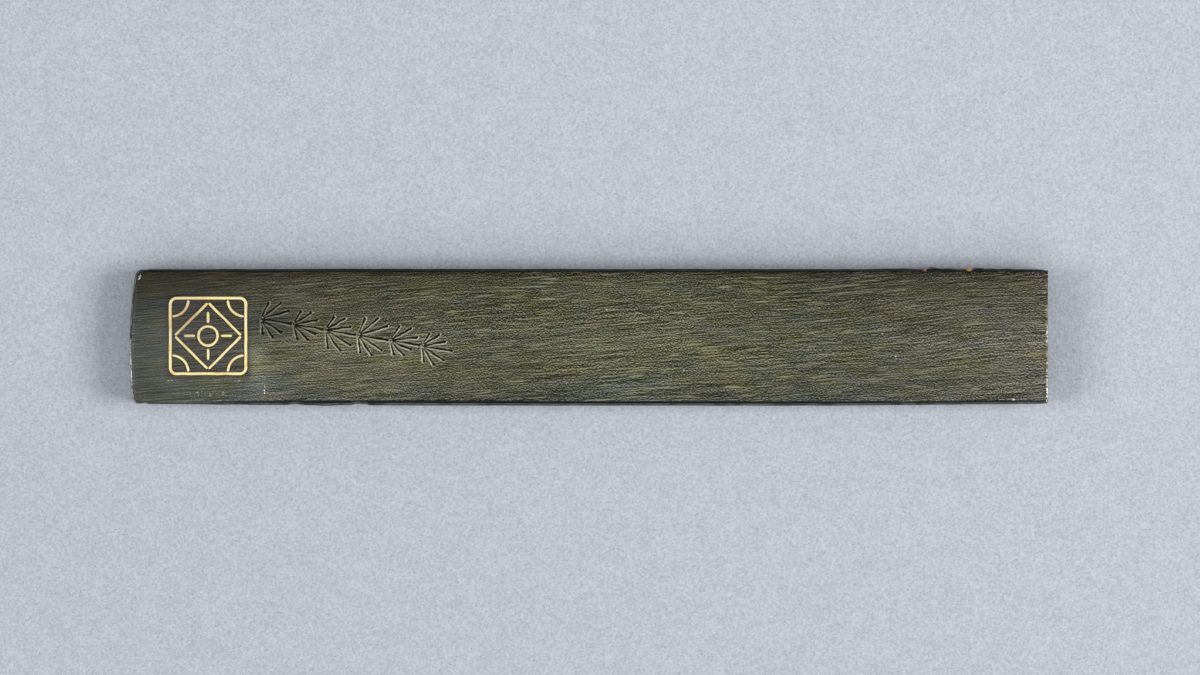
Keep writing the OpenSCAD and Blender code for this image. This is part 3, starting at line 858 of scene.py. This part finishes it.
def butt_cap():
    ends = np.array([0, 0.02, 0.06, 0.12, 0.2, 0.32, 0.46, 0.62, 0.8])
    ys = np.concatenate([ends - cap_half_lo, np.linspace(-6.0, 6.1, 40), (cap_half_hi - ends)[::-1]])
    bow = bow_x(ys, butt_r, cap_half_lo, cap_half_hi, 0.8, 0)
    rough = Lattice(51, 0.8, 0.8)
    # Heights, and how far the rounded rims stand in at each of them
    levels = [(0.0, 0.20), (0.06, 0.08), (0.2, 0.0), (1.2, 0.0), (2.2, 0.0), (3.2, 0.0)]
    levels += [(strip_h - 0.18, 0.0), (strip_h - 0.05, 0.06), (strip_h, 0.16)]
    rings, wear = [], []
    for z, inset in levels:
        k = 1 - inset / 7.1
        ring = [(cap_inner_x, ys[0] * k, z)]
        ring += [(x + inset + 0.012 * rough(y, z), y * k, z) for x, y in zip(bow, ys)]
        ring.append((cap_inner_x, ys[-1] * k, z))
        rings.append(ring)
        # The upper rim is worn and painted with a highlight, most of all in its lower part, which faces the
        # lamps
        rim = inset > 0 and z > 1
        wear += [0.03 + rim * (0.17 + 0.8 * ease(y, 1.0, -1.5)) for _, y, _ in ring]
    verts, faces, caps = loft(rings)
    obj = new_piece("butt_cap_worn", verts, faces, [case_mat], "butt_cap", flat=caps)
    vertex_value(obj, "wear", wear)


butt_cap()

# ----- gold seal


def sweep(part, path, width, number="", cyclic=False):
    """A strip of gold let into the plate along a path about the seal's middle, with soft edges and a dark
    line of painted shadow in the groove's lip."""
    path = np.asarray(path, float) + (seal_x, seal_y)
    normal = path_normals(path, cyclic)
    reach = np.concatenate([[0], np.cumsum(np.linalg.norm(np.diff(path, axis=0), axis=1))])
    # Place across the gold from -1 to 1, height, and width of the lip beyond the gold
    profile = [(-1.0, -0.24, 0.07), (-1.0, 0.004, 0.07), (-1.0, -0.004, 0.0), (-0.84, 0.020, 0.0)]
    profile.append((-0.45, 0.030, 0.0))
    profile += [(-u, h, lip) for u, h, lip in reversed(profile)]
    rings = []
    for k, (x, y) in enumerate(path):
        w = width / 2 * (1 + 0.07 * hand(x * 1.3, y * 1.3))
        if not cyclic:
            # The ends are round
            end = min(reach[k], reach[-1] - reach[k])
            t = min(1.0, end / (width * 0.5))
            w *= math.sqrt(max(1 - (1 - t) ** 2, 0.0)) * 0.98 + 0.02
        shift = 0.02 * hand(x * 0.6 + 40, y * 0.6)
        z0 = crown_z(y)
        lift = 1 + 0.35 * hand(x + 7, y + 7)
        ring = []
        for u, h, lip in profile:
            off = u * w + math.copysign(lip, u) + shift
            ring.append((x + normal[k, 0] * off, y + normal[k, 1] * off, z0 + (h * lift if h > 0.01 else h)))
        rings.append(ring[::-1])
    verts, faces, caps = loft(rings, cyclic)
    edge = [1.0 if abs(u) > 0.9 else 0.65 if abs(u) > 0.7 else 0.0 for u, _, _ in profile][::-1]
    ends_from = len(faces) - len(caps)
    mats = [0 if 2 <= f % len(profile) <= 6 or f >= ends_from else 1 for f in range(len(faces))]
    name, node = f"{part}_gold{number}", part + number
    obj = new_piece(name, verts, faces, [gold_mat, gap_shadow_mat], node, face_mats=mats)
    vertex_value(obj, "edge", edge * len(path))
    # The upper left of the seal has tarnished more than the rest
    tarnish = ((-42.6, 1.9, 2.0, 2.2, 1.0), (-37.4, 2.4, 1.2, 1.2, 0.3))
    x, y, _ = np.asarray(verts).T
    vertex_value(obj, "dull", spots(x, y, tarnish))


def rounded_loop(w, h, r, steps=7, along=18):
    """Points round a rectangle with rounded corners."""
    pts = []
    for sx, sy, a0 in ((1, 1, 0), (-1, 1, 90), (-1, -1, 180), (1, -1, 270)):
        turns = [math.radians(a0 + 90 * k / steps) for k in range(steps + 1)]
        pts += [(sx * (w / 2 - r) + r * math.cos(a), sy * (h / 2 - r) + r * math.sin(a)) for a in turns]
        # The straight side, up to where the next corner starts
        lx, ly = pts[-1]
        ex = -sy * (w / 2 - r) + r * math.cos(turns[-1])
        ey = sx * (h / 2 - r) + r * math.sin(turns[-1])
        pts += [(lx + (ex - lx) * k / along, ly + (ey - ly) * k / along) for k in range(1, along)]
    return pts


def line(a, b, step=0.16):
    """Points from a to b, closer together at the ends."""
    n = max(4, int(math.dist(a, b) / step))
    t = np.linspace(0, 1, n + 1)
    t = np.unique(np.concatenate([t, [0.01, 0.025, 0.05, 0.95, 0.975, 0.99]]))
    return [(a[0] + (b[0] - a[0]) * k, a[1] + (b[1] - a[1]) * k) for k in t]


def seal():
    """A ring in a diamond of four bars, with four ticks round the ring and an arc in each corner."""
    ring_out, arc_r = 1.15, 1.75
    tick_from, tick_to = 1.5, 2.4
    bar_inset, bar_gap, arc_gap = 0.3, 0.22, 0.06
    w, h = seal_w - frame_line, seal_h - frame_line
    sweep("seal_frame", rounded_loop(w, h, 0.65), frame_line, cyclic=True)
    r = inner_line / 2
    ring_r = ring_out - r
    turns = np.linspace(0, 2 * math.pi, 40, endpoint=False)
    ring = [(ring_r * math.cos(a), ring_r * math.sin(a)) for a in turns]
    sweep("seal_ring", ring, inner_line, cyclic=True)
    in_w, in_h = seal_w / 2 - frame_line, seal_h / 2 - frame_line
    dx, dy = in_w - bar_inset, in_h - bar_inset
    length = math.hypot(dx, dy)
    ux, uy = -dx / length, dy / length
    a0 = math.asin(arc_gap / arc_r)
    a1 = math.pi / 2 - a0
    close = np.array([0.01, 0.03, 0.06])
    turns = np.unique(np.concatenate([np.linspace(a0, a1, 22), a0 + close, a1 - close]))
    for i, (sx, sy) in enumerate(((1, 1), (-1, 1), (-1, -1), (1, -1)), 1):
        a, b = ((sx * (dx + ux * k), sy * (uy * k)) for k in (bar_gap - r, length - bar_gap + r))
        sweep("seal_bar", line(a, b), inner_line, f"_{i}")
        arc = [(sx * (in_w - arc_r * math.sin(a)), sy * (in_h - arc_r * math.cos(a))) for a in turns]
        sweep("seal_corner", arc, inner_line, f"_{i}")
        q = math.radians(90 * (i - 1))
        a, b = ((t * math.cos(q), t * math.sin(q)) for t in (tick_from - r, tick_to + r))
        sweep("seal_tick", line(a, b, 0.1), inner_line, f"_{i}")


seal()

# ----- buds on the edge

bud_y, bud_z = 7.02, 4.05


def edge_bud(i, x, size, pale, warm):
    """A gilt bud let into the upper strip, lumpy from the punch, that laps over the strip's edge."""
    lumps = Lattice(70 + i, 0.42, 0.42)
    rings, edge = [], []
    for deg in (-88, -70, -52, -36, -22, -8, 6, 20, 34, 48, 62, 76, 88):
        up, out = math.sin(math.radians(deg)), math.cos(math.radians(deg))
        ring = []
        for k in range(24):
            a = 2 * math.pi * k / 24
            swell = 1 + 0.22 * lumps(math.cos(a) + 3 * up, math.sin(a) - 2 * up)
            r = size * out * swell
            ring.append((x + r * math.cos(a), bud_y + 0.8 * r * math.sin(a), bud_z + 0.5 * up))
            edge.append(0.95 - 0.9 * max(0.0, min(1.0, 5 * (swell - pale))))
        rings.append(ring)
    verts, faces, _ = loft(rings)
    obj = new_piece(f"edge_bud_gilt_{i}", verts, faces, [gold_mat], f"edge_bud_{i}")
    vertex_value(obj, "edge", edge)
    vertex_value(obj, "warm", [warm] * len(verts))


edge_bud(1, bud_x[0], 0.27, 1.14, 1.0)
edge_bud(2, bud_x[1], 0.34, 1.02, 0.75)

# ----- front plate and its relief, facing down

front_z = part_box("front_plate")[0].z / MM
branch_x0, branch_length = 44, 70


def front_plate():
    """The front's ground, worked all over with small shallow dimples."""
    lo, hi = (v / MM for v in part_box("front_plate"))
    X, Y = np.meshgrid(np.linspace(lo.x, hi.x, 260), np.linspace(lo.y, hi.y, 36), indexing="ij")
    grain, swell = Lattice(81, 0.62, 0.62), Lattice(82, 4.0, 2.5)
    Z = front_z + 0.022 * grain(X, Y) + 0.010 * swell(X, Y)
    verts, faces, _ = closed_sheet(X, Y, Z, hi.z, up=False)
    flat = [len(faces) - 1]
    new_piece("front_plate_dimpled", verts, faces, [front_mat], "front_plate", flat=flat)


def branch_at(t):
    """Place of the branch's centre line from 0 (root, near the mouth) to 1 (tip), as in the CAD model."""
    t = np.asarray(t, float)
    y = 3.4 * np.cos(np.radians(150 * t)) - 0.6 + 1.1 * np.sin(np.radians(420 * t))
    return np.stack([branch_x0 - branch_length * t, y], -1)


def branch_half(t):
    return 0.85 * (1 - 0.72 * t)


def relief(name, node, mat, path, half, height, across=17):
    """A low relief along a path on the front plate. half(t) is its half width, and height(t, u) its height,
    with t from 0 to 1 along it and u from -1 to 1 across it."""
    path = np.asarray(path, float)
    normal = path_normals(path)
    us = np.sin(np.linspace(-math.pi / 2, math.pi / 2, across))
    rings, low = [], []
    for k, t in enumerate(np.linspace(0, 1, len(path))):
        h = [height(t, u) for u in us]
        side = [path[k] + normal[k] * u * half(t) for u in us]
        ring = [(x, y, front_z - hh) for (x, y), hh in zip(side, h)]
        # The foot goes a little way into the plate
        ring += [(x, y, front_z + 0.05) for x, y in (side[-1], side[0])]
        rings.append(ring)
        low += [1 - min(1.0, hh / 0.30) for hh in h] + [1.0, 1.0]
    verts, faces, _ = loft(rings)
    obj = new_piece(name, verts, outward(verts, faces), [mat], node)
    vertex_value(obj, "low", low)
    vertex_value(obj, "grime_and_shade", np.asarray(low) * 0.8)


# Leaves stand beside the branch, each at its place t, on its side and turned by its own angle
leaf_rows = ((0.16, -1, 205), (0.34, 1, 150), (0.50, -1, 215), (0.68, 1, 140), (0.88, -1, 195))


def branch():
    bark = Lattice(83, 1.5, 0.28)
    knots = [0.10, 0.25, 0.42, 0.60, 0.78] + [row[0] for row in leaf_rows]

    def half(t):
        swell = 1 + 0.10 * bark(t * branch_length, 9.0)
        swell += sum(0.22 * bump_at(t, k, 0.010) for k in knots)
        return branch_half(t) * swell * (1 - 0.85 * ease(t, 0.965, 1.0))

    def height(t, u):
        body = 0.32 * math.sqrt(max(1 - u * u, 0.0)) ** 0.8
        ridges = 0.045 * bark(t * branch_length, u * 1.1) * (1 - u * u)
        knot = sum(0.05 * bump_at(t, k, 0.006) for k in knots)
        return max(0.0, body * (1 - 0.25 * t) + ridges + knot * (1 - u * u))

    path = branch_at(np.linspace(0, 1, 240))
    relief("relief_branch_knotted", "relief_branch", branch_mat, path, half, height)


def leaf(i, t0, side, turn):
    """A willow leaf with a raised rib, side veins and a short stalk that reaches the branch."""
    length, width = 5.2, 1.9
    centre = branch_at(t0) + np.array([0, side * (branch_half(t0) + width / 2 + 0.75)])
    a = math.radians(turn)
    ux, uy = np.array([math.cos(a), math.sin(a)]), np.array([-math.sin(a), math.cos(a)])
    foot_sign = min((1, -1), key=lambda k: abs((centre + k * ux * length / 2 - branch_at(t0))[1]))
    foot, tip = foot_sign * length / 2, -foot_sign * length / 2
    s = np.linspace(0, 1, 90)
    stalk = 0.16
    blade = np.clip((s - stalk) / (1 - stalk), 0, 1)
    bend = 0.22 * np.sin(math.pi * blade)
    path = centre + np.outer(foot + (tip - foot) * blade, ux) + np.outer(bend, uy)
    root = (branch_x0 - (centre + foot * ux)[0]) / branch_length
    join = branch_at(min(1.0, max(0.0, root)))
    k = np.clip(1 - s / stalk, 0, 1)[:, None]
    path = path * (1 - k) + join * k
    serrate = Lattice(90 + i, 0.05, 1.0)

    def half(t):
        b = max(0.0, (t - stalk) / (1 - stalk))
        lens = width / 2 * max(0.0, 4 * b * (1 - b)) ** 0.75
        lens *= 1 + 0.05 * math.sin(2 * math.pi * 11 * b) + 0.03 * serrate(b, 0.5)
        return max(lens, 0.11 * (1 - 0.8 * ease(t, 0.93, 1.0)))

    def height(t, u):
        b = (t - stalk) / (1 - stalk)
        edge = math.sqrt(max(1 - u * u, 0.0)) ** 0.6
        if b <= 0:
            return 0.16 * edge
        veins = 0.5 + 0.5 * math.cos(2 * math.pi * (9 * b - 1.4 * abs(u)))
        rib = 0.06 * math.exp(-((u / 0.09) ** 2)) + 0.05 * abs(u)
        return edge * (0.20 + 0.045 * veins * (1 - math.exp(-((u / 0.12) ** 2))) + rib)

    relief(f"copper_leaf_veined_{i}", f"copper_leaf_{i}", copper_mat, path, half, height, across=25)


def front_bud(i, t, side):
    """A gilt bud of five petals folded over each other."""
    radius, gap = 0.5, 0.25
    cx, cy = branch_at(t) + np.array([0, side * (branch_half(t) + radius + gap)])
    rings, edge = [], []
    for level in np.linspace(0, 1, 12):
        up = math.sin(level * math.pi / 2)
        out = math.cos(level * math.pi / 2) * 0.97 + 0.03
        ring = []
        for k in range(60):
            a = 2 * math.pi * k / 60
            petal = abs(math.cos(2.5 * a + 1.1 * level))
            r = 0.47 * out * (0.84 + 0.16 * petal**0.5)
            z = front_z - 0.34 * up * (0.9 + 0.1 * petal)
            ring.append((cx + r * math.cos(a), cy + r * math.sin(a), z))
            edge.append(np.clip(1.0 - 2.2 * petal, 0, 1) * (0.4 + 0.6 * out) + 0.4 * (level < 0.05))
        rings.append(ring)
    verts, faces, _ = loft(rings)
    faces = outward(verts, faces)
    obj = new_piece(f"gilt_bud_petalled_{i}", verts, faces, [gold_mat], f"gilt_bud_{i}")
    vertex_value(obj, "edge", np.clip(edge, 0, 1))
    vertex_value(obj, "warm", [0.35] * len(verts))


front_plate()
branch()
for i, row in enumerate(leaf_rows, 1):
    leaf(i, *row)
front_bud(1, 0.25, 1)
front_bud(2, 0.60, -1)

# ----- CAD nodes that keep their shape

finishes = {"mouth_collar": case_mat, "back_seam_solder": solder_mat, "front_seam_solder": solder_mat}
for name, mat in finishes.items():
    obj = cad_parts[name]
    obj.data.materials.clear()
    obj.data.materials.append(mat)

# ----- floor, light and camera


def floor():
    half = 900.0 * MM
    mesh = bpy.data.meshes.new("floor")
    mesh.from_pydata([(x, y, 0.0) for x in (-half, half) for y in (-half, half)], [], [(0, 2, 3, 1)])
    mesh.materials.append(paper_mat)
    add_object("floor", mesh)


def area_light(name, place, size, power, colour):
    """A soft lamp that points at the middle of the handle."""
    data = bpy.data.lights.new(name, "AREA")
    data.shape = "RECTANGLE"
    data.size, data.size_y = size[0] * MM, size[1] * MM
    data.energy = power
    data.color = colour
    obj = add_object(name, data)
    obj.location = Vector(place) * MM
    obj.rotation_euler = (-Vector(place)).to_track_quat("-Z", "Y").to_euler()


floor()
area_light("lamp_right", (694, -72, 716), (460, 460), 6.2, (1.0, 0.99, 0.97))
area_light("lamp_left", (-694, -72, 716), (460, 460), 3.9, (1.0, 0.99, 0.97))
area_light("fill_below", (0, -670, 743), (600, 500), 1.72, (0.97, 0.98, 1.0))

world = bpy.data.worlds.new("studio")
world.use_nodes = True
sky = world.node_tree.nodes["Background"]
sky.inputs[0].default_value = (0.90, 0.95, 1.08, 1.0)
sky.inputs[1].default_value = 0.218
bpy.context.scene.world = world

# The camera looks straight down, and view_width millimetres of the plate's top fill the picture
cam_x, cam_y, cam_height = 1.19, -0.07, 1100.0
view_width = 126.7
cam_data = bpy.data.cameras.new("camera")
cam_data.sensor_width = 36.0
cam_data.lens = cam_data.sensor_width * (cam_height - top_z) / view_width
camera = add_object("camera", cam_data)
camera.location = (cam_x * MM, cam_y * MM, cam_height * MM)
bpy.context.scene.camera = camera
bpy.context.scene.view_settings.view_transform = "Standard"
